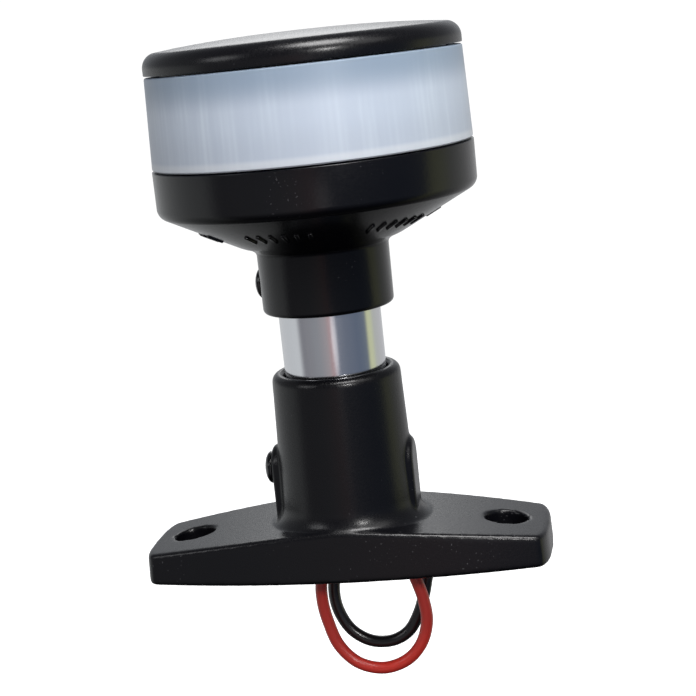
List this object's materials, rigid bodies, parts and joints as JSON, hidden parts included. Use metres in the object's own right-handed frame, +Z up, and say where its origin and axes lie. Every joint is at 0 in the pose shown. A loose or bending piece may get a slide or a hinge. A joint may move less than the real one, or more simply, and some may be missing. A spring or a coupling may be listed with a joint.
{
  "type": "navigation light",
  "caption": "All-round boat navigation light: a frosted drum lens in a round head on a short tube that stands in a boat-shaped deck base, with two leads below.",
  "frame": {"origin": "on the pole's axis in the plane of the base's underside, which is the deck's surface", "axes": "+Z up along the pole, +X along the base's length away from the two clamp screws, +Y across the base"},
  "size_m": [0.0774, 0.0588, 0.1225],
  "materials": {
    "base_black": "satin black, fine grain",
    "housing_black": "satin black",
    "cap_black": "satin black",
    "lens_frosted": "frosted, pale blue-white",
    "pole_aluminium": "satin anodised",
    "seal_rubber": "matt",
    "bush_rubber": "matt",
    "screw_steel": "glossy black",
    "board_green": "solder mask",
    "chip_black": "moulded",
    "terminal_white": "moulded",
    "core_aluminium": "extruded",
    "led_board_white": "white solder mask on an aluminium core",
    "led_yellow": "phosphor under clear resin",
    "lead_red": "smooth insulation",
    "lead_black": "smooth insulation",
    "tinned_copper": "tinned strands"
  },
  "bodies": {
    "foot": {"base": "base_black", "pole_tube": "pole_aluminium", "lead_bush": "bush_rubber", "red_lead": "lead_red", "red_lead_inner": "lead_red", "red_lead_tip": "tinned_copper", "black_lead": "lead_black", "black_lead_inner": "lead_black", "black_lead_tip": "tinned_copper"},
    "head": {"head_housing": "housing_black", "lens": "lens_frosted", "lens_seal": "seal_rubber", "cap_seal": "seal_rubber", "top_cap": "cap_black", "driver_board": "board_green", "driver_chip": "chip_black", "driver_coil": "chip_black", "lead_terminal": "terminal_white", "led_core": "core_aluminium", "led_1": "led_yellow", "led_2": "led_yellow", "led_3": "led_yellow", "led_4": "led_yellow", "led_5": "led_yellow", "led_6": "led_yellow", "led_board_1": "led_board_white", "led_board_2": "led_board_white", "led_board_3": "led_board_white", "led_board_4": "led_board_white", "led_board_5": "led_board_white", "led_board_6": "led_board_white"},
    "base_washer": {"base_clamp_washer": "screw_steel"},
    "base_screw": {"base_clamp_screw": "screw_steel"},
    "head_washer": {"head_clamp_washer": "screw_steel"},
    "head_screw": {"head_clamp_screw": "screw_steel"}
  },
  "joints": [
    {"name": "head_turn", "type": "hinge", "parent": "foot", "child": "head", "pos_m": [0, 0, 0.0556], "axis": [0, 0, 1], "range_deg": [-170, 170]},
    {"name": "base_screw_out", "type": "slide", "parent": "foot", "child": "base_washer", "axis": [-1, 0, 0], "range_m": [0, 0.0028]},
    {"name": "base_screw_turn", "type": "hinge", "parent": "base_washer", "child": "base_screw", "pos_m": [-0.0135, 0, 0.0192], "axis": [-1, 0, 0], "range_deg": [0, 1500]},
    {"name": "head_screw_out", "type": "slide", "parent": "head", "child": "head_washer", "axis": [-0.9781, 0.2079, 0], "range_m": [0, 0.0028]},
    {"name": "head_screw_turn", "type": "hinge", "parent": "head_washer", "child": "head_screw", "pos_m": [-0.01174, 0.00249, 0.0545], "axis": [-0.9781, 0.2079, 0], "range_deg": [0, 1500]}
  ],
  "couplings": [
    {"joint": "base_screw_turn", "follows": "base_screw_out", "rad_per_m": 8976},
    {"joint": "head_screw_turn", "follows": "head_screw_out", "rad_per_m": 8976}
  ]
}
